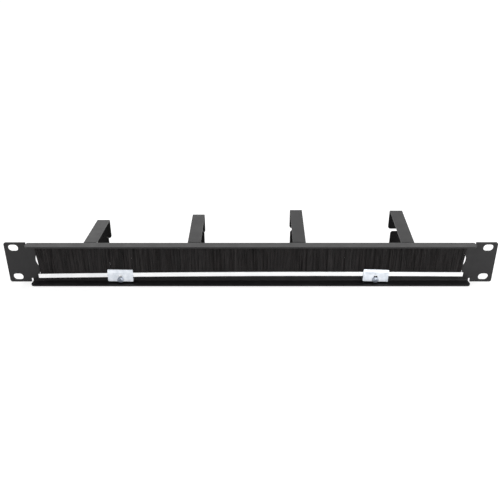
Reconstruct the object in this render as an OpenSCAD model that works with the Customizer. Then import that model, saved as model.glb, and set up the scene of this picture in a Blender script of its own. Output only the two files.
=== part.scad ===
// 1U rack panel with a brush-covered cable slot and four open cable rings.
// Frame: X along the panel, Y = 0 on the panel's mounting (rear) face with the
// rings on the +Y side, Z up.  Origin at the centre of the four rack slots.

/* [Panel sheet] */
// Overall width across the ears
panel_w = 482.6; // [470:0.1:490]
// Overall height of the one-unit panel
panel_h = 43; // [42:0.1:44]
// Sheet thickness
sheet_t = 1.5; // [1.2:0.1:2]
// Radius of the ears' outer corners
ear_corner_r = 2; // [1:0.5:3]
// Depth of both folded flanges behind the mounting face
flange_depth = 10; // [8:0.5:14]
// Inside radius of the two folds
fold_r = 0.5; // [0.3:0.1:1]
// Width of an ear, from the panel's end to the relief notch
ear_w = 21.3; // [19:0.1:24]
// Radius of the flanges' free corners
flange_corner_r = 4; // [1:0.5:6]
// Width of the relief notch at each end of a fold
relief_w = 2; // [1:0.25:3]
// Depth of the relief notch from the panel's edge
relief_h = 4; // [3:0.25:5]

/* [Rack slots] */
// Distance from the panel's end to the middle of a slot
slot_edge = 8.75; // [7.5:0.05:10]
// Distance from the panel's upper or lower edge to the middle of a slot
slot_edge_z = 5.625; // [5:0.125:7]
// Length of a slot
rack_slot_l = 10; // [8:0.5:12]
// Width of a slot
rack_slot_w = 7; // [6:0.1:8]

/* [Cable slot] */
// Distance from the flanges' end to the cable slot's end
cable_slot_inset = 5.3; // [3:0.1:12]
// Height of the web left below the cable slot
lower_web_h = 12.2; // [11:0.1:14]
// Height of the web left above the cable slot
upper_web_h = 6.8; // [5:0.1:9]

/* [Strip brush] */
// Distance from the cable slot's end to the channel's end
channel_inset = 2.7; // [1:0.1:6]
// Thickness of the channel across the brush
channel_w = 5; // [4:0.25:6]
// Height of the channel
channel_h = 4.4; // [3.6:0.1:5]
// Wall of the channel
channel_wall = 0.6; // [0.4:0.1:0.8]
// Height of the channel's crest above the cable slot's lower edge
channel_lift = 1.3; // [0.5:0.1:2.5]
// Radius of the shallow upward bow that the clamped strip takes
bow_radius = 17300; // [12000:100:60000]
// Place of the bow's crest along the panel
bow_crest_x = 70; // [0:5:120]
// Diameter of the core wire that the bristles are folded round
core_wire_d = 1.2; // [0.8:0.1:1.6]
// Length by which the bristles stop short of each channel end
bristle_inset = 1.5; // [0.5:0.25:4]
// Gap between the bristle tips and the upper flange
tip_gap = 1.8; // [1:0.1:6]
// Width of one clump of bristles
clump_w = 3.5; // [2.5:0.25:6]
// Width of the slit between two clumps
clump_gap = 0.35; // [0.2:0.05:0.8]
// Number of rows of clumps through the brush
clump_rows = 3; // [1:1:4]
// Free gap between two rows
row_gap = 0.15; // [0.1:0.05:0.3]
// Outward lean of the last clump at each end
splay_deg = 7; // [0:0.5:12]
// Length over which the end clumps fan out
splay_len = 16; // [8:1:30]
// Random unevenness of the bristle tips
tip_jitter = 0.5; // [0:0.1:1]

/* [Clips and screws] */
// Distance from the left flange end to the left clip's screw
left_clip_inset = 89.2; // [60:0.1:110]
// Distance from the right flange end to the right clip's screw
right_clip_inset = 94.2; // [60:0.1:110]
// Width of a clip
clip_w = 25; // [18:0.5:34]
// Sheet thickness of a clip
clip_t = 1; // [0.8:0.1:1.2]
// Height of the clip's foot above the lower flange
clip_foot_lift = 1.9; // [1.3:0.1:3]
// Clearance between the channel's top edge and the bend of a clip's lip
lip_clearance = 0.45; // [0.3:0.05:1]
// Height of the lips' top edge above the channel's crest
clip_top_lift = 2.65; // [2:0.05:3.5]
// Radius of a clip's corners
clip_corner_r = 0.8; // [0.3:0.1:1.5]
// Angle by which the left clip sits out of level
left_clip_tilt = 1; // [-3:0.25:3]
// Angle by which the right clip sits out of level
right_clip_tilt = 2; // [-3:0.25:3]
// Height of the screws' axis above the lower flange
screw_lift = 4; // [3.6:0.1:5]
// Angle to which the left screw's recess is turned
left_screw_turn = 20; // [0:5:85]
// Angle to which the right screw's recess is turned
right_screw_turn = 50; // [0:5:85]
// Diameter of a screw's thread
screw_d = 2.9; // [2.5:0.1:3.2]
// Diameter of the pan head
head_d = 6; // [5:0.25:7]
// Height of the pan head
head_h = 2.2; // [1.6:0.1:2.6]
// Length of the screw's end that stands out in front of the sheet
screw_stand_out = 2; // [0.5:0.25:5]
// Clearance of the tapped hole round the thread
thread_clearance = 0.05; // [0.02:0.01:0.1]
// Clearance of the clip's slot round the thread
slot_clearance = 0.25; // [0.1:0.05:0.4]
// Travel that the clip's slot allows above the screw
clip_slot_travel = 3.6; // [2:0.1:4]

/* [Cable rings] */
// Distance from the left flange end to the first ring
first_ring_inset = 61; // [40:0.5:80]
// Distance from the right flange end to the last ring
last_ring_inset = 64; // [40:0.5:80]
// Stray of each ring from even spacing
ring_stray = [0, -1.7, -2.3, 0];
// Rise of each ring's upper arm, as bent by handling
upper_arm_rise = [0.2, 6.3, 11.3, 10.6];
// Rise of each ring's lower arm, as bent by handling
lower_arm_rise = [0, 8.3, 9.1, 7.8];
// Width of the strip that a ring is bent from
ring_strip_w = 12.6; // [10:0.1:16]
// Thickness of the strip
ring_strip_t = 1.2; // [1:0.1:1.6]
// Distance by which a ring stays inside the panel's upper and lower edges
ring_inset = 1; // [0.5:0.25:3]
// Reach of the upper arm from the panel's front face
upper_arm_l = 60.5; // [50:0.5:80]
// Reach of the lower arm from the panel's front face
lower_arm_l = 48.5; // [40:0.5:64]
// Length of the tongue that hangs from the upper arm
upper_tongue_l = 21.8; // [18:0.2:26]
// Length of the tongue that stands up from the lower arm
lower_tongue_l = 26.1; // [22:0.2:30]
// Inside radius of a ring's bends
ring_bend_r = 1.4; // [0.8:0.1:3]
// Radius of the tongues' corners
tongue_corner_r = 2.6; // [1:0.1:5]

/* [Spot welds] */
// Diameter of the dimple that a spot weld leaves
weld_d = 4.5; // [3:0.25:5]
// Depth of the dimple
weld_depth = 0.2; // [0.1:0.05:0.4]
// Height of the lower welds above the panel's lower edge
lower_weld_lift = 6.3; // [5.5:0.1:8]
// Depth of the upper welds below the panel's upper edge
upper_weld_drop = 4.3; // [4.1:0.1:4.4]

/* [Hidden] */
$fn = 48;
arc_steps = 6;
cut = 1;
seed = 7;
half_h = panel_h / 2;
fold_outer_r = fold_r + sheet_t;
flange_len = panel_w - 2 * (ear_w + relief_w);
rack_pitch_x = panel_w - 2 * slot_edge;
rack_pitch_z = panel_h - 2 * slot_edge_z;
cable_slot_l = flange_len - 2 * cable_slot_inset;
channel_l = cable_slot_l - 2 * channel_inset;
cable_slot_h = panel_h - lower_web_h - upper_web_h;
cable_slot_z = (lower_web_h - upper_web_h) / 2;
weld_zs = [lower_weld_lift - half_h, half_h - upper_weld_drop];
channel_inner_w = channel_w - 2 * channel_wall;
channel_crest_z = lower_web_h - half_h + channel_lift;
bow_steps = 12;
bow_table = [for (i = [0 : bow_steps])
    let (x = channel_l * (i / bow_steps - 0.5))
    [x, channel_crest_z - (x - bow_crest_x) * (x - bow_crest_x) / 2 / bow_radius]];
function bow_z(x) = lookup(x, bow_table);
wire_sides = 12;
bristle_l = channel_l - 2 * bristle_inset;
bristle_w = channel_inner_w;
bristle_root_h = channel_h - channel_wall;
row_t = (bristle_w - (clump_rows - 1) * row_gap) / clump_rows;
spine_rise = 1.5;
spine_low = core_wire_d / 2 - channel_h / 2;
clump_count = floor(bristle_l / clump_w);
clump_pitch = bristle_l / clump_count;
flange_top_z = -half_h + sheet_t;
clip_foot_z = flange_top_z + clip_foot_lift;
clip_top_z = channel_crest_z + clip_top_lift;
clip_lip_lean = channel_wall;
screw_z = flange_top_z + screw_lift;
left_clip_x = left_clip_inset - flange_len / 2;
right_clip_x = flange_len / 2 - right_clip_inset;
bristle_tip_z = half_h - sheet_t - tip_gap;
clip_slot_w = screw_d + 2 * slot_clearance;
clip_outer_y = -channel_w - clip_t;
recess_w = 0.8;
recess_l = 3.4;
recess_depth = 1.3;
ring_h = panel_h - 2 * ring_inset;
ring_pitch = (flange_len - first_ring_inset - last_ring_inset) / 3;
ring_x = [for (i = [0 : 3]) first_ring_inset - flange_len / 2 + i * ring_pitch + ring_stray[i]];
ring_centre_y = sheet_t + ring_strip_t / 2;
ring_centre_r = ring_bend_r + ring_strip_t / 2;

// ---------- panel ----------

module rounded_rect(w, h, r) {
    square([w - 2 * r, h], center = true);
    square([w, h - 2 * r], center = true);
    for (sx = [-1, 1], sz = [-1, 1])
        translate([sx * (w / 2 - r), sz * (h / 2 - r)]) circle(r);
}

module obround(l, w) {
    square([l - w, w], center = true);
    for (s = [-1, 1])
        translate([s * (l - w) / 2, 0]) circle(w / 2);
}

// Section of the folded sheet: y to the right, z up.
module folded_section() {
    translate([0, -half_h + fold_outer_r])
        square([sheet_t, panel_h - 2 * fold_outer_r]);
    for (s = [0, 1]) mirror([0, s]) {
        translate([-flange_depth, half_h - sheet_t])
            square([flange_depth - fold_r, sheet_t]);
        intersection() {
            translate([-fold_r, half_h - fold_outer_r]) difference() {
                circle(fold_outer_r);
                circle(fold_r);
            }
            translate([-fold_r, half_h - fold_outer_r]) square(fold_outer_r);
        }
    }
}

// Flat outline with the ears at full height and the folded stretch cut down to the
// height where the folds start.
module flat_outline() {
    difference() {
        rounded_rect(panel_w, panel_h, ear_corner_r);
        for (s = [-1, 1])
            translate([0, s * (half_h - relief_h / 2 + cut / 2)])
                square([flange_len + 2 * relief_w, relief_h + cut], center = true);
    }
}

module flange_corner_cutter() {
    translate([flange_len / 2 - flange_corner_r, -flange_depth - cut, -half_h - cut])
        difference() {
            cube([flange_corner_r + cut, flange_corner_r + cut, panel_h + 2 * cut]);
            translate([0, flange_corner_r + cut, -cut])
                cylinder(r = flange_corner_r, h = panel_h + 4 * cut);
        }
}

module through_sheet() {
    translate([0, sheet_t + cut, 0]) rotate([90, 0, 0])
        linear_extrude(sheet_t + 2 * cut) children();
}

module panel() {
    color("#1d1d1f") difference() {
        union() {
            translate([0, sheet_t, 0]) rotate([90, 0, 0])
                linear_extrude(sheet_t) flat_outline();
            translate([-flange_len / 2, 0, 0]) rotate([90, 0, 90])
                linear_extrude(flange_len) folded_section();
        }
        for (s = [0, 1]) mirror([s, 0, 0]) flange_corner_cutter();
        through_sheet() translate([0, cable_slot_z]) obround(cable_slot_l, cable_slot_h);
        for (sx = [-1, 1], sz = [-1, 1])
            through_sheet() translate([sx * rack_pitch_x / 2, sz * rack_pitch_z / 2])
                obround(rack_slot_l, rack_slot_w);
        for (x = [left_clip_x, right_clip_x])
            through_sheet() translate([x, screw_z]) circle(screw_d / 2 + thread_clearance);
        for (x = ring_x, z = weld_zs)
            translate([x, weld_depth, z]) rotate([90, 0, 0])
                cylinder(d = weld_d, h = weld_depth + cut);
    }
}

// ---------- strip brush ----------

// Outline of a band that follows the bow, from low to high above the channel's top edge.
function bowed_xs(len) = concat([-len / 2],
    [for (k = bow_table) if (abs(k[0]) < len / 2 - 0.01) k[0]], [len / 2]);
function bowed_band(len, low, high) =
    let (xs = bowed_xs(len), n = len(xs))
    concat([for (i = [0 : n - 1]) [xs[i], bow_z(xs[i]) + high]],
           [for (i = [n - 1 : -1 : 0]) [xs[i], bow_z(xs[i]) + low]]);

// The same band as a bar lying between two distances behind the mounting face.
module bowed_bar(len, near, far, low, high) {
    translate([0, -near, 0]) rotate([90, 0, 0])
        linear_extrude(far - near) polygon(bowed_band(len, low, high));
}

module brush_channel() {
    color("#d9dadb") {
        bowed_bar(channel_l, 0, channel_w, -channel_h, -channel_h + channel_wall);
        bowed_bar(channel_l, 0, channel_wall, -channel_h, 0);
        bowed_bar(channel_l, channel_w - channel_wall, channel_w, -channel_h, 0);
    }
}

// Wire of round section along the middle of the channel.
module core_wire() {
    xs = bowed_xs(bristle_l);
    n = len(xs);
    m = wire_sides;
    points = [for (x = xs, k = [0 : m - 1])
        [x, -channel_w / 2 + core_wire_d / 2 * cos(360 * k / m),
         bow_z(x) - channel_h / 2 + core_wire_d / 2 * sin(360 * k / m)]];
    faces = concat([[for (k = [0 : m - 1]) k]],
        [for (i = [0 : n - 2], k = [0 : m - 1])
            [i * m + k, (i + 1) * m + k, (i + 1) * m + (k + 1) % m, i * m + (k + 1) % m]],
        [[for (k = [m - 1 : -1 : 0]) (n - 1) * m + k]]);
    color("#8f9296") polyhedron(points, faces, convexity = 4);
}

// Lean of a clump, nil in the middle and growing towards both ends.
function lean(x) =
    let (over = abs(x) - (bristle_l / 2 - splay_len))
    over <= 0 ? 0 : sign(x) * splay_deg * over / splay_len;

// One row of clumps on a common spine, as an outline of x and z.
function clump_row(shift, rnd) = concat(
    [for (x = bowed_xs(bristle_l)) [-x, bow_z(-x) + spine_low]],
    [for (i = [0 : clump_count - 1], k = [0 : 3])
        let (x0 = -bristle_l / 2 + i * clump_pitch + (i > 0 ? shift : 0),
             x1 = -bristle_l / 2 + (i + 1) * clump_pitch + (i < clump_count - 1 ? shift : 0),
             x = k < 2 ? x0 + (i > 0 ? clump_gap / 2 : 0)
                       : x1 - (i < clump_count - 1 ? clump_gap / 2 : 0),
             foot_z = bow_z(x) + spine_rise,
             tip_z = bristle_tip_z + tip_jitter * rnd[i])
        (k == 0 || k == 3) ? [x, foot_z] : [x + (tip_z - foot_z) * tan(lean(x)), tip_z]]);

// Bristles folded round the wire: a U inside the channel and rows of clumps above it.
module bristles() {
    near = channel_wall;
    far = channel_w - channel_wall;
    leg = (far - near - core_wire_d) / 2;
    color("#17171a") {
        bowed_bar(bristle_l, near, far, -bristle_root_h, spine_low - core_wire_d);
        bowed_bar(bristle_l, near, near + leg, -bristle_root_h, 0);
        bowed_bar(bristle_l, far - leg, far, -bristle_root_h, 0);
        bowed_bar(bristle_l, near, far, spine_low, 0);
        for (r = [0 : clump_rows - 1])
            translate([0, -near - r * (row_t + row_gap), 0]) rotate([90, 0, 0])
                linear_extrude(row_t) polygon(clump_row(
                    (r - (clump_rows - 1) / 2) * clump_pitch / clump_rows,
                    rands(-1, 1, clump_count, seed + r)));
    }
}

// ---------- clips and screws ----------

// Section of a clip: y to the right, z up, from the foot on the sheet up to the lip.
function clip_section(bend_z) =
    let (inner = -channel_w, lip_in = inner + clip_lip_lean)
    [[0, clip_foot_z], [clip_outer_y, clip_foot_z], [clip_outer_y, bend_z],
     [lip_in - clip_t, clip_top_z], [lip_in, clip_top_z], [inner, bend_z],
     [inner, clip_foot_z + clip_t], [0, clip_foot_z + clip_t]];

module clip(x, tilt) {
    outline_h = clip_top_z - clip_foot_z;
    translate([x, 0, screw_z]) rotate([0, tilt, 0]) translate([0, 0, -screw_z])
        difference() {
            intersection() {
                translate([-clip_w / 2, 0, 0]) rotate([90, 0, 90])
                    linear_extrude(clip_w)
                        polygon(clip_section(bow_z(x) + lip_clearance));
                translate([0, cut, clip_foot_z + outline_h / 2]) rotate([90, 0, 0])
                    linear_extrude(-clip_outer_y + 2 * cut)
                        rounded_rect(clip_w, outline_h, clip_corner_r);
            }
            translate([0, -channel_w + cut, screw_z]) rotate([90, 0, 0])
                linear_extrude(clip_t + 2 * cut) translate([0, clip_slot_travel / 2])
                    rotate(90) obround(clip_slot_travel + clip_slot_w, clip_slot_w);
        }
}

module left_clip() {
    color("#c9ced6") clip(left_clip_x, left_clip_tilt);
}

module right_clip() {
    color("#c9ced6") clip(right_clip_x, right_clip_tilt);
}

// Pan-head screw seated on the clip's face, its cross recess turned by a few degrees.
module clip_screw(turn) {
    crown = head_h * 0.45;
    rim = head_h - crown;
    color("#c4c8ce") translate([0, clip_outer_y, screw_z]) rotate([90, turn, 0]) {
        difference() {
            union() {
                cylinder(d = head_d, h = rim);
                translate([0, 0, rim]) intersection() {
                    cylinder(d = head_d, h = crown);
                    translate([0, 0, crown - crown_radius(crown)])
                        sphere(crown_radius(crown), $fn = 64);
                }
            }
            for (a = [0, 90]) rotate(a)
                translate([-recess_l / 2, -recess_w / 2, head_h - recess_depth])
                    cube([recess_l, recess_w, recess_depth + cut]);
        }
        translate([0, 0, clip_outer_y - sheet_t - screw_stand_out])
            cylinder(d = screw_d, h = -clip_outer_y + sheet_t + screw_stand_out);
    }
}

// Radius of the sphere that crowns a head with the given rise.
function crown_radius(rise) = (head_d * head_d / 4 + rise * rise) / (2 * rise);

module left_clip_screw() {
    translate([left_clip_x, 0, 0]) clip_screw(left_screw_turn);
}

module right_clip_screw() {
    translate([right_clip_x, 0, 0]) clip_screw(right_screw_turn);
}

// ---------- cable rings ----------

function unit(v) = v / norm(v);
function left_normal(d) = [-d[1], d[0]];

// Points and left normals along a polyline whose corners are rounded to radius r.
function rounded_path(p, r) =
    let (n = len(p))
    [for (i = [0 : n - 1])
        if (i == 0) [p[0], left_normal(unit(p[1] - p[0]))]
        else if (i == n - 1) [p[i], left_normal(unit(p[i] - p[i - 1]))]
        else
            let (d1 = unit(p[i] - p[i - 1]), d2 = unit(p[i + 1] - p[i]),
                 side = sign(d1[0] * d2[1] - d1[1] * d2[0]),
                 turn = acos(min(1, max(-1, d1 * d2))),
                 start = p[i] - d1 * r * tan(turn / 2),
                 centre = start + side * r * left_normal(d1))
            each [for (k = [0 : arc_steps])
                let (a = side * turn * k / arc_steps,
                     nrm = [[cos(a), -sin(a)], [sin(a), cos(a)]] * left_normal(d1))
                [centre - side * r * nrm, nrm]]];

// Outline of a strip of thickness t along such a path.
function strip_outline(p, r, t) =
    let (s = rounded_path(p, r), n = len(s))
    concat([for (i = [0 : n - 1]) s[i][0] + s[i][1] * t / 2],
           [for (i = [n - 1 : -1 : 0]) s[i][0] - s[i][1] * t / 2]);

// Centre line of a ring in y and z, from the tip of the lower tongue to that of the upper.
function ring_path(upper_rise, lower_rise) =
    let (half = ring_h / 2 - ring_strip_t / 2,
         low_y = sheet_t + lower_arm_l - ring_strip_t / 2,
         up_y = sheet_t + upper_arm_l - ring_strip_t / 2,
         low_z = -half + (low_y - ring_centre_y) * tan(lower_rise),
         up_z = half + (up_y - ring_centre_y) * tan(upper_rise))
    [[low_y, low_z - ring_strip_t / 2 + lower_tongue_l], [low_y, low_z],
     [ring_centre_y, -half], [ring_centre_y, half], [up_y, up_z],
     [up_y, up_z + ring_strip_t / 2 - upper_tongue_l]];

// Removes the two corners at a tongue's tip; dir is +1 for a tip that points up.
module tip_corners(y, z, dir) {
    for (s = [-1, 1])
        translate([s * (ring_strip_w / 2 - tongue_corner_r), y, z - dir * tongue_corner_r])
            difference() {
                scale([s, 1, dir]) translate([0, -ring_strip_t, 0])
                    cube([tongue_corner_r + cut, 2 * ring_strip_t, tongue_corner_r + cut]);
                rotate([90, 0, 0])
                    cylinder(r = tongue_corner_r, h = 4 * ring_strip_t, center = true);
            }
}

module cable_ring(i) {
    path = ring_path(upper_arm_rise[i], lower_arm_rise[i]);
    low_tip = path[0];
    up_tip = path[len(path) - 1];
    color("#1d1d1f") translate([ring_x[i], 0, 0]) difference() {
        translate([-ring_strip_w / 2, 0, 0]) rotate([90, 0, 90])
            linear_extrude(ring_strip_w)
                polygon(strip_outline(path, ring_centre_r, ring_strip_t));
        tip_corners(low_tip[0], low_tip[1], 1);
        tip_corners(up_tip[0], up_tip[1], -1);
    }
}

panel();
brush_channel();
core_wire();
bristles();
left_clip();
right_clip();
left_clip_screw();
right_clip_screw();
cable_ring(0);  // cable_ring_1
cable_ring(1);  // cable_ring_2
cable_ring(2);  // cable_ring_3
cable_ring(3);  // cable_ring_4
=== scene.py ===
# One-unit rack panel with a brush-covered cable slot, seen from its rear.
import math

import bpy
from mathutils import Euler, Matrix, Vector

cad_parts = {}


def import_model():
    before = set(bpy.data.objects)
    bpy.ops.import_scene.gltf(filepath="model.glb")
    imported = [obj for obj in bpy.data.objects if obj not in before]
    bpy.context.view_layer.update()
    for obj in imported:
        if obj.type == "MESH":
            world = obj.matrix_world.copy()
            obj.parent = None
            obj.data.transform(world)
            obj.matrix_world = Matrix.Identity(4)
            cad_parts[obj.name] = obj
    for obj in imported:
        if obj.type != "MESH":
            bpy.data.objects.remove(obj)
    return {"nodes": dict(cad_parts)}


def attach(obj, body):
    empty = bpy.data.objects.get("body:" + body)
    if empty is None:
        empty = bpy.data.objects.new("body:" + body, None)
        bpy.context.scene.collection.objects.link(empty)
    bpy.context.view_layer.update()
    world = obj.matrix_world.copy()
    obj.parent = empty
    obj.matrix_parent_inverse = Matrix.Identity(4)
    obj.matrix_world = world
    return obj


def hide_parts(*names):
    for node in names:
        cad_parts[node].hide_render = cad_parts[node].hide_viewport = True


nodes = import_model()["nodes"]
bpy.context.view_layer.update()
scene = bpy.context.scene
mm = 0.001

# ---------------------------------------------------------------- panel sheet
# The panel is one folded sheet of 1.5 mm steel with two ears, a long cable slot
# and a flange along each edge.  It is powder coated black, semi-gloss, with the
# fine orange peel and the softened edges that such a coat leaves.


def hex_colour(code):
    """sRGB hex to a linear RGBA colour."""
    values = [int(code[i : i + 2], 16) / 255 for i in (1, 3, 5)]
    linear = [v / 12.92 if v <= 0.04045 else ((v + 0.055) / 1.055) ** 2.4 for v in values]
    return (*linear, 1.0)


def new_finish(name):
    """An empty material with its shader, output and a node-adding helper."""
    finish = bpy.data.materials.new(name)
    finish.use_nodes = True
    tree = finish.node_tree
    tree.nodes.clear()
    out = tree.nodes.new("ShaderNodeOutputMaterial")
    shader = tree.nodes.new("ShaderNodeBsdfPrincipled")
    tree.links.new(shader.outputs["BSDF"], out.inputs["Surface"])
    return finish, tree, shader


def object_noise(tree, scale_mm, stretch=(1, 1, 1), detail=2.0, roughness=0.5):
    """Noise whose grains are about scale_mm wide, stretched along the object's axes."""
    coords = tree.nodes.new("ShaderNodeTexCoord")
    mapping = tree.nodes.new("ShaderNodeMapping")
    mapping.inputs["Scale"].default_value = [1000 / scale_mm / s for s in stretch]
    noise = tree.nodes.new("ShaderNodeTexNoise")
    noise.inputs["Scale"].default_value = 1.0
    noise.inputs["Detail"].default_value = detail
    noise.inputs["Roughness"].default_value = roughness
    tree.links.new(coords.outputs["Object"], mapping.inputs["Vector"])
    tree.links.new(mapping.outputs["Vector"], noise.inputs["Vector"])
    return noise.outputs["Fac"]


def spread(tree, value, low, high, from_low=0.3, from_high=0.7):
    """Maps a noise value to a range of roughness or brightness."""
    node = tree.nodes.new("ShaderNodeMapRange")
    node.inputs["From Min"].default_value = from_low
    node.inputs["From Max"].default_value = from_high
    node.inputs["To Min"].default_value = low
    node.inputs["To Max"].default_value = high
    tree.links.new(value, node.inputs["Value"])
    return node.outputs["Result"]


def two_tone(tree, value, dark, light, low=0.35, high=0.65):
    """A colour between two tones, chosen by a noise value."""
    ramp = tree.nodes.new("ShaderNodeValToRGB")
    ramp.color_ramp.elements[0].position = low
    ramp.color_ramp.elements[0].color = hex_colour(dark)
    ramp.color_ramp.elements[1].position = high
    ramp.color_ramp.elements[1].color = hex_colour(light)
    tree.links.new(value, ramp.inputs["Fac"])
    return ramp.outputs["Color"]


def bumped(tree, shader, heights, edge_mm):
    """Stacks bumps of (value, height in mm) on a normal rounded at the edges."""
    edge = tree.nodes.new("ShaderNodeBevel")
    edge.samples = 4
    edge.inputs["Radius"].default_value = edge_mm * mm
    normal = edge.outputs["Normal"]
    for value, height in heights:
        bump = tree.nodes.new("ShaderNodeBump")
        bump.inputs["Strength"].default_value = 1.0
        bump.inputs["Distance"].default_value = height * mm
        tree.links.new(value, bump.inputs["Height"])
        tree.links.new(normal, bump.inputs["Normal"])
        normal = bump.outputs["Normal"]
    tree.links.new(normal, shader.inputs["Normal"])


def black_powder_coat():
    """Epoxy-polyester powder coat, black, semi-gloss."""
    finish, tree, shader = new_finish("black_powder_coat")
    cloud = object_noise(tree, 9, detail=3)
    peel = object_noise(tree, 0.9, detail=1)
    grain = object_noise(tree, 0.25, detail=1)
    tree.links.new(two_tone(tree, cloud, "#161516", "#1c1b1c"), shader.inputs["Base Color"])
    tree.links.new(spread(tree, cloud, 0.36, 0.46), shader.inputs["Roughness"])
    shader.inputs["IOR"].default_value = 1.38
    bumped(tree, shader, [(peel, 0.012), (grain, 0.004)], 0.35)
    return finish


def dress(name, finish):
    """Gives one CAD node a single finish."""
    materials = nodes[name].data.materials
    materials.clear()
    materials.append(finish)


powder_coat = black_powder_coat()
dress("panel", powder_coat)

# ---------------------------------------------------------------- cable rings
# Four open rings, each bent from one steel strip and spot-welded to the sheet's
# front face before the whole is coated, so they share the panel's finish.

for number in (1, 2, 3, 4):
    dress(f"cable_ring_{number}", powder_coat)

# ---------------------------------------------------------------- brush channel
# The strip brush's U channel is rolled from bright galvanised steel and crimped
# on the bristles.  It is satin, with faint rolling lines along its length.


def galvanised_strip():
    """Bright galvanised steel strip, satin."""
    finish, tree, shader = new_finish("galvanised_steel")
    lines = object_noise(tree, 0.35, stretch=(60, 1, 1), detail=2)
    patches = object_noise(tree, 14, stretch=(1.6, 1, 1), detail=3)
    tree.links.new(two_tone(tree, patches, "#f1f2f3", "#fdfdfd"), shader.inputs["Base Color"])
    tree.links.new(spread(tree, lines, 0.34, 0.5), shader.inputs["Roughness"])
    shader.inputs["Metallic"].default_value = 0.6
    bumped(tree, shader, [(lines, 0.006)], 0.12)
    return finish


dress("brush_channel", galvanised_strip())

# ---------------------------------------------------------------- core wire
# A drawn steel wire lies in the channel, and the bristles are folded round it.


def drawn_wire():
    """Plain drawn steel wire, satin grey."""
    finish, tree, shader = new_finish("core_wire_steel")
    lines = object_noise(tree, 0.2, stretch=(80, 1, 1), detail=1)
    tree.links.new(two_tone(tree, lines, "#888b90", "#a7aab0"), shader.inputs["Base Color"])
    tree.links.new(spread(tree, lines, 0.32, 0.48), shader.inputs["Roughness"])
    shader.inputs["Metallic"].default_value = 1.0
    return finish


dress("core_wire", drawn_wire())

# ---------------------------------------------------------------- bristles
# Black nylon filaments about 0.3 mm thick stand in the channel as a dense
# curtain.  They keep a slight clumping and uneven tips, and fan outwards at both
# ends of the strip where nothing holds them.

brush_length = 416.2 * mm
brush_near = 0.62 * mm
brush_depth = 3.76 * mm
channel_top = -8.0 * mm
bow_crest = 70 * mm
bow_radius = 17300 * mm
tip_height = 18.2 * mm
splay_length = 16 * mm
splay_angle = math.radians(4.5)
filament_count = 16000
filament_radius = 0.16 * mm
filament_foot = 1.0 * mm
tuft_pitch = 3.5 * mm
tuft_pull = -0.18 * mm
tip_spread = 0.55 * mm
wave_pitch = 47 * mm
wave_height = 0.25 * mm
curl_length = 26 * mm
lean_along = 0.03
lean_across = 0.012
full_turn = 6.28


def black_filaments():
    """Crimped black nylon, dull, each tuft a little lighter or darker."""
    finish, tree, shader = new_finish("black_bristle")
    strands = object_noise(tree, 0.45, stretch=(1, 1, 80), detail=1)
    tufts = object_noise(tree, 1.1, stretch=(1, 1.5, 12), detail=3, roughness=0.75)
    mix = tree.nodes.new("ShaderNodeMath")
    mix.operation = "ADD"
    tree.links.new(spread(tree, strands, 0, 0.5), mix.inputs[0])
    tree.links.new(spread(tree, tufts, 0, 0.5), mix.inputs[1])
    tone = two_tone(tree, mix.outputs[0], "#030303", "#2b2727", 0.2, 0.9)
    tree.links.new(tone, shader.inputs["Base Color"])
    tree.links.new(spread(tree, strands, 0.55, 0.75), shader.inputs["Roughness"])
    shader.inputs["Specular IOR Level"].default_value = 0.3
    return finish


class NodeMaths:
    """Writes field arithmetic in a geometry tree."""

    def __init__(self, tree):
        self.tree = tree

    def put(self, socket, value):
        if isinstance(value, (int, float)):
            socket.default_value = value
        else:
            self.tree.links.new(value, socket)

    def op(self, operation, a, b=0.0):
        node = self.tree.nodes.new("ShaderNodeMath")
        node.operation = operation
        self.put(node.inputs[0], a)
        self.put(node.inputs[1], b)
        return node.outputs[0]

    def chance(self, low, high, seed):
        node = self.tree.nodes.new("FunctionNodeRandomValue")
        node.data_type = "FLOAT"
        sockets = [s for s in node.inputs if s.name in ("Min", "Max") and s.type == "VALUE"]
        self.put(sockets[0], low)
        self.put(sockets[1], high)
        node.inputs["Seed"].default_value = seed
        return [s for s in node.outputs if s.type == "VALUE"][0]

    def vector(self, x, y, z):
        node = self.tree.nodes.new("ShaderNodeCombineXYZ")
        for socket, value in zip(node.inputs, (x, y, z)):
            self.put(socket, value)
        return node.outputs[0]

    def parts(self, vector):
        node = self.tree.nodes.new("ShaderNodeSeparateXYZ")
        self.tree.links.new(vector, node.inputs[0])
        return node.outputs


def add_input(tree, name, kind, value):
    """Adds one named size to the group's inputs."""
    tree.interface.new_socket(name, in_out="INPUT", socket_type=kind).default_value = value


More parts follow.
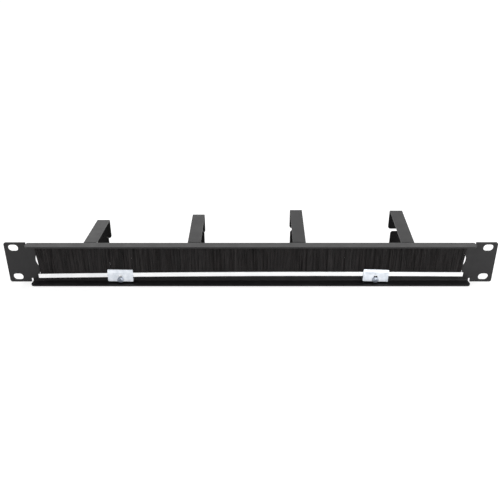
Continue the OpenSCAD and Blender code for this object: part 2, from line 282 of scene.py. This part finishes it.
def curtain_tree(finish):
    """Geometry tree that plants the filaments along the bowed channel."""
    tree = bpy.data.node_groups.new("bristle_curtain", "GeometryNodeTree")
    sizes = {
        "Filament Count": ("NodeSocketInt", filament_count),
        "Strip Length": ("NodeSocketFloat", brush_length),
        "Curtain Depth": ("NodeSocketFloat", brush_depth),
        "Filament Radius": ("NodeSocketFloat", filament_radius),
        "Tip Height": ("NodeSocketFloat", tip_height),
        "Tip Spread": ("NodeSocketFloat", tip_spread),
        "Splay Length": ("NodeSocketFloat", splay_length),
        "Splay Slope": ("NodeSocketFloat", math.tan(splay_angle)),
    }
    for name, (kind, value) in sizes.items():
        add_input(tree, name, kind, value)
    tree.interface.new_socket("Geometry", in_out="OUTPUT", socket_type="NodeSocketGeometry")
    given = tree.nodes.new("NodeGroupInput").outputs
    out = tree.nodes.new("NodeGroupOutput")
    m = NodeMaths(tree)

    points = tree.nodes.new("GeometryNodePoints")
    tree.links.new(given["Filament Count"], points.inputs["Count"])
    half = m.op("MULTIPLY", given["Strip Length"], 0.5)
    order = tree.nodes.new("GeometryNodeInputIndex").outputs[0]
    step = m.op("DIVIDE", m.op("ADD", order, m.chance(0.0, 1.0, 11)), given["Filament Count"])
    x = m.op("MULTIPLY", m.op("SUBTRACT", m.op("MULTIPLY", step, 2.0), 1.0), half)
    # clumping: every filament is drawn a little towards its tuft's middle
    tuft = m.op("SINE", m.op("MULTIPLY", x, 2 * math.pi / tuft_pitch))
    x = m.op("ADD", x, m.op("MULTIPLY", tuft, tuft_pull))
    y = m.op("MULTIPLY", m.chance(0.0, 1.0, 12), given["Curtain Depth"])
    y = m.op("SUBTRACT", -brush_near, y)
    off = m.op("SUBTRACT", x, bow_crest)
    drop = m.op("DIVIDE", m.op("MULTIPLY", off, off), 2 * bow_radius)
    foot = m.op("SUBTRACT", channel_top - filament_foot, drop)
    place = tree.nodes.new("GeometryNodeSetPosition")
    tree.links.new(points.outputs[0], place.inputs["Geometry"])
    tree.links.new(m.vector(x, y, foot), place.inputs["Position"])

    strand = tree.nodes.new("GeometryNodeMeshCylinder")
    strand.fill_type = "NONE"
    strand.inputs["Vertices"].default_value = 3
    strand.inputs["Side Segments"].default_value = 2
    strand.inputs["Depth"].default_value = 1.0
    tree.links.new(given["Filament Radius"], strand.inputs["Radius"])
    lift = tree.nodes.new("GeometryNodeTransform")
    tree.links.new(strand.outputs["Mesh"], lift.inputs["Geometry"])
    lift.inputs["Translation"].default_value = (0, 0, 0.5)

    plant = tree.nodes.new("GeometryNodeInstanceOnPoints")
    tree.links.new(place.outputs["Geometry"], plant.inputs["Points"])
    tree.links.new(lift.outputs["Geometry"], plant.inputs["Instance"])
    # tip height: slow waves along the strip, tuft by tuft, and each filament's own
    wave = m.op("SINE", m.op("MULTIPLY", x, 2 * math.pi / wave_pitch))
    wave = m.op("MULTIPLY", wave, wave_height)
    own = m.op("MULTIPLY", m.chance(-1.0, 0.9, 13), given["Tip Spread"])
    tip = m.op("ADD", m.op("ADD", given["Tip Height"], wave), own)
    length = m.op("SUBTRACT", tip, foot)
    tree.links.new(m.vector(1.0, 1.0, length), plant.inputs["Scale"])
    turn = m.vector(0.0, 0.0, m.chance(0.0, full_turn, 14))
    tree.links.new(turn, plant.inputs["Rotation"])
    # values that the bending step reads after the instances are made real
    hold = plant.outputs["Instances"]
    for label, most, seed in (("lean_x", lean_along, 15), ("lean_y", lean_across, 16)):
        store = tree.nodes.new("GeometryNodeStoreNamedAttribute")
        store.domain = "INSTANCE"
        store.data_type = "FLOAT"
        store.inputs["Name"].default_value = label
        tree.links.new(hold, store.inputs["Geometry"])
        sockets = [s for s in store.inputs if s.name == "Value" and s.enabled]
        tree.links.new(m.chance(-most, most, seed), sockets[0])
        hold = store.outputs["Geometry"]
    real = tree.nodes.new("GeometryNodeRealizeInstances")
    tree.links.new(hold, real.inputs["Geometry"])

    position = tree.nodes.new("GeometryNodeInputPosition").outputs[0]
    px, py, pz = m.parts(position)

    def named(label):
        node = tree.nodes.new("GeometryNodeInputNamedAttribute")
        node.data_type = "FLOAT"
        node.inputs["Name"].default_value = label
        return [s for s in node.outputs if s.enabled][0]

    height = m.op("MAXIMUM", m.op("SUBTRACT", pz, channel_top), 0.0)
    reach = m.op("SUBTRACT", m.op("ABSOLUTE", px), m.op("SUBTRACT", half, given["Splay Length"]))
    reach = m.op("DIVIDE", m.op("MAXIMUM", reach, 0.0), given["Splay Length"])
    splay = m.op("MULTIPLY", m.op("MULTIPLY", reach, given["Splay Slope"]), m.op("SIGN", px))
    curl = m.op("DIVIDE", height, curl_length)
    dx = m.op("MULTIPLY", height, m.op("ADD", splay, m.op("MULTIPLY", named("lean_x"), curl)))
    dy = m.op("MULTIPLY", height, m.op("MULTIPLY", named("lean_y"), curl))
    bend = tree.nodes.new("GeometryNodeSetPosition")
    tree.links.new(real.outputs["Geometry"], bend.inputs["Geometry"])
    tree.links.new(m.vector(dx, dy, 0.0), bend.inputs["Offset"])
    paint = tree.nodes.new("GeometryNodeSetMaterial")
    paint.inputs["Material"].default_value = finish
    tree.links.new(bend.outputs["Geometry"], paint.inputs["Geometry"])
    tree.links.new(paint.outputs["Geometry"], out.inputs["Geometry"])
    return tree


def grown(name, tree):
    """Runs a geometry tree on an empty mesh and keeps the result as a plain mesh."""
    start = bpy.data.objects.new(name + "_start", bpy.data.meshes.new(name + "_start"))
    scene.collection.objects.link(start)
    modifier = start.modifiers.new("nodes", "NODES")
    modifier.node_group = tree
    bpy.context.view_layer.update()
    ready = start.evaluated_get(bpy.context.evaluated_depsgraph_get())
    mesh = bpy.data.meshes.new_from_object(ready)
    start.modifiers.clear()
    bpy.data.objects.remove(start)
    mesh.name = name
    piece = bpy.data.objects.new(name, mesh)
    scene.collection.objects.link(piece)
    return piece


filament_finish = black_filaments()
curtain = grown("bristle_filaments", curtain_tree(filament_finish))
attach(curtain, "root")
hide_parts("bristles")

# ---------------------------------------------------------------- clips
# Two bent clips of zinc-plated steel hook over the channel and press it on the
# sheet.  The plating is blue-white and satin, with faint handling marks.


def zinc_plate(name, dark, light, low, high, metallic):
    """Blue-white zinc plating over rolled steel."""
    finish, tree, shader = new_finish(name)
    bloom = object_noise(tree, 5, detail=4, roughness=0.6)
    lines = object_noise(tree, 0.3, stretch=(14, 1, 1), detail=2)
    tree.links.new(two_tone(tree, bloom, dark, light), shader.inputs["Base Color"])
    tree.links.new(spread(tree, bloom, low, high), shader.inputs["Roughness"])
    shader.inputs["Metallic"].default_value = metallic
    bumped(tree, shader, [(lines, 0.005)], 0.15)
    return finish


clip_finish = zinc_plate("zinc_plate", "#cdd3db", "#e6eaf0", 0.34, 0.5, 0.6)
for side in ("left", "right"):
    dress(f"{side}_clip", clip_finish)

# ---------------------------------------------------------------- clip screws
# A pan-head screw with a cross recess holds each clip.  Its end stands out in
# front of the sheet, where its rolled thread shows.

screw_finish = zinc_plate("screw_zinc", "#7d838d", "#a4aab4", 0.4, 0.55, 0.9)
for side in ("left", "right"):
    dress(f"{side}_clip_screw", screw_finish)

thread_radius = 1.42 * mm
thread_length = 1.9 * mm
thread_turns = 3.8
ridge_radius = 0.16 * mm
thread_start = 1.55 * mm
left_screw = -128.8 * mm
right_screw = 123.8 * mm
screw_height = -16 * mm


def thread_tree(finish):
    """Geometry tree that winds one thread and sets it on each screw's free end."""
    tree = bpy.data.node_groups.new("screw_thread", "GeometryNodeTree")
    sizes = {
        "Thread Radius": thread_radius,
        "Thread Length": thread_length,
        "Ridge Radius": ridge_radius,
        "Left Screw": left_screw,
        "Right Screw": right_screw,
        "Turns": thread_turns,
    }
    for name, value in sizes.items():
        add_input(tree, name, "NodeSocketFloat", value)
    tree.interface.new_socket("Geometry", in_out="OUTPUT", socket_type="NodeSocketGeometry")
    given = tree.nodes.new("NodeGroupInput").outputs
    out = tree.nodes.new("NodeGroupOutput")
    m = NodeMaths(tree)
    helix = tree.nodes.new("GeometryNodeCurveSpiral")
    helix.inputs["Resolution"].default_value = 24
    tree.links.new(given["Turns"], helix.inputs["Rotations"])
    tree.links.new(given["Thread Radius"], helix.inputs["Start Radius"])
    tree.links.new(given["Thread Radius"], helix.inputs["End Radius"])
    tree.links.new(given["Thread Length"], helix.inputs["Height"])
    ridge = tree.nodes.new("GeometryNodeCurvePrimitiveCircle")
    ridge.inputs["Resolution"].default_value = 5
    tree.links.new(given["Ridge Radius"], ridge.inputs["Radius"])
    wound = tree.nodes.new("GeometryNodeCurveToMesh")
    wound.inputs["Fill Caps"].default_value = True
    tree.links.new(helix.outputs["Curve"], wound.inputs["Curve"])
    tree.links.new(ridge.outputs["Curve"], wound.inputs["Profile Curve"])
    both = tree.nodes.new("GeometryNodeJoinGeometry")
    for side in ("Left Screw", "Right Screw"):
        one = tree.nodes.new("GeometryNodePoints")
        tree.links.new(m.vector(given[side], thread_start, screw_height), one.inputs["Position"])
        tree.links.new(one.outputs[0], both.inputs["Geometry"])
    seat = tree.nodes.new("GeometryNodeInstanceOnPoints")
    seat.inputs["Rotation"].default_value = (-math.pi / 2, 0, 0)
    tree.links.new(both.outputs["Geometry"], seat.inputs["Points"])
    tree.links.new(wound.outputs["Mesh"], seat.inputs["Instance"])
    real = tree.nodes.new("GeometryNodeRealizeInstances")
    tree.links.new(seat.outputs["Instances"], real.inputs["Geometry"])
    paint = tree.nodes.new("GeometryNodeSetMaterial")
    paint.inputs["Material"].default_value = finish
    tree.links.new(real.outputs["Geometry"], paint.inputs["Geometry"])
    tree.links.new(paint.outputs["Geometry"], out.inputs["Geometry"])
    return tree


threads = grown("clip_screw_threads", thread_tree(screw_finish))
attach(threads, "root")

# ---------------------------------------------------------------- floor
# The panel stands on its lower flange, on a plain white studio floor that keeps
# its soft shadow.

floor_z = -21.5 * mm
floor_glow = 0.62


def seen_strength(tree, plain, seen):
    """A light's strength: one value for the eye, mirrors and glass, one for the rest."""
    rays = tree.nodes.new("ShaderNodeLightPath")
    watched = rays.outputs["Is Camera Ray"]
    for kind in ("Is Glossy Ray", "Is Transmission Ray"):
        either = tree.nodes.new("ShaderNodeMath")
        either.operation = "MAXIMUM"
        tree.links.new(watched, either.inputs[0])
        tree.links.new(rays.outputs[kind], either.inputs[1])
        watched = either.outputs[0]
    level = tree.nodes.new("ShaderNodeMapRange")
    level.inputs["To Min"].default_value = plain
    level.inputs["To Max"].default_value = seen
    tree.links.new(watched, level.inputs["Value"])
    return level.outputs["Result"]


def white_floor():
    """Matte white floor, near white to the eye and in mirrors."""
    finish, tree, shader = new_finish("studio_floor")
    shader.inputs["Base Color"].default_value = hex_colour("#e9e9e9")
    shader.inputs["Roughness"].default_value = 0.9
    shader.inputs["Specular IOR Level"].default_value = 0.1
    glow = tree.nodes.new("ShaderNodeEmission")
    glow.inputs["Color"].default_value = (1, 1, 1, 1)
    tree.links.new(seen_strength(tree, 0, floor_glow), glow.inputs["Strength"])
    both = tree.nodes.new("ShaderNodeAddShader")
    tree.links.new(shader.outputs["BSDF"], both.inputs[0])
    tree.links.new(glow.outputs["Emission"], both.inputs[1])
    out = [n for n in tree.nodes if n.type == "OUTPUT_MATERIAL"][0]
    tree.links.new(both.outputs[0], out.inputs["Surface"])
    return finish


floor_mesh = bpy.data.meshes.new("studio_floor")
reach = 40.0
floor_mesh.from_pydata(
    [(x * reach, y * reach, floor_z) for x, y in ((-1, -1), (1, -1), (1, 1), (-1, 1))],
    [],
    [(0, 1, 2, 3)],
)
floor = bpy.data.objects.new("studio_floor", floor_mesh)
floor.data.materials.append(white_floor())
scene.collection.objects.link(floor)

# ---------------------------------------------------------------- studio light
# A wide softbox hangs over the panel and a smaller one stands at the front right,
# in an even white surround.


def softbox(name, place, aim, width, height, watts):
    lamp = bpy.data.lights.new(name, "AREA")
    lamp.shape = "RECTANGLE"
    lamp.size = width
    lamp.size_y = height
    lamp.energy = watts
    box = bpy.data.objects.new(name, lamp)
    box.location = place
    box.rotation_euler = (Vector(aim) - Vector(place)).to_track_quat("-Z", "Y").to_euler()
    scene.collection.objects.link(box)


softbox("overhead_softbox", (0.1, 0.9, 1.0), (0, 0, 0), 2.2, 1.2, 7)
softbox("front_softbox", (0.45, -1.0, 0.24), (0.1, 0, 0), 1.0, 0.4, 7)

surround_light = 0.5
surround = bpy.data.worlds.new("white_surround")
scene.world = surround
surround.use_nodes = True
sky = surround.node_tree
sky.nodes.clear()
white = sky.nodes.new("ShaderNodeBackground")
white.inputs["Color"].default_value = (1, 1, 1, 1)
sky.links.new(seen_strength(sky, surround_light, 1.0), white.inputs["Strength"])
ending = sky.nodes.new("ShaderNodeOutputWorld")
sky.links.new(white.outputs[0], ending.inputs["Surface"])

# ---------------------------------------------------------------- camera
# The eye is a quarter of a metre above the panel and half a metre behind it.

frame_width = 500
focal_length = 583.4
lens = bpy.data.cameras.new("camera")
lens.sensor_width = 36
lens.lens = focal_length * lens.sensor_width / frame_width
lens.clip_start = 0.01
lens.clip_end = 50
eye = bpy.data.objects.new("camera", lens)
eye.location = (2.0 * mm, -515.2 * mm, 260.6 * mm)
pitch, yaw, roll = math.radians(25.61), math.radians(0.26), math.radians(-0.127)
looking = Euler((math.pi / 2 - pitch, 0, yaw)).to_matrix()
eye.rotation_euler = (looking @ Euler((0, 0, roll)).to_matrix()).to_euler()
scene.collection.objects.link(eye)
scene.camera = eye

scene.view_settings.view_transform = "Standard"
